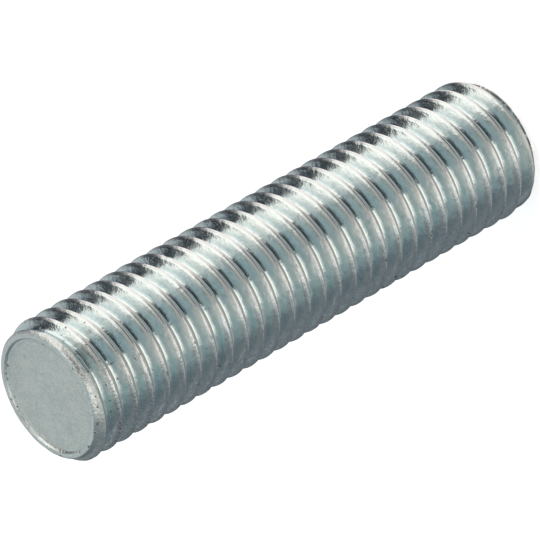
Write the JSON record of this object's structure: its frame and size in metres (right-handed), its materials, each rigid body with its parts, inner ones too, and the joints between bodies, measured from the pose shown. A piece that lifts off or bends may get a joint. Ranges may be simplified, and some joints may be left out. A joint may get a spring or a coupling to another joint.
{
  "type": "threaded rod",
  "caption": "Short fully threaded steel rod, bright zinc plated, with a right-hand metric thread and bevelled ends, the upper one slightly dished.",
  "frame": {"origin": "centre of the flat lower end, on the rod's axis", "axes": "+Z along the rod's axis, from the flat lower end up to the dished upper end; the highest crest of the thread crosses the -Y side 0.52 mm below the upper end"},
  "size_m": [0.014, 0.014, 0.0575],
  "materials": {
    "zinc_plated_steel": "bright zinc plating over rolled steel, bluish white and half gloss, with pits, dark specks and small nicks along the crests; the dished top end is matt grey"
  },
  "bodies": {
    "root": {"threaded_rod": "zinc_plated_steel"}
  },
  "joints": []
}
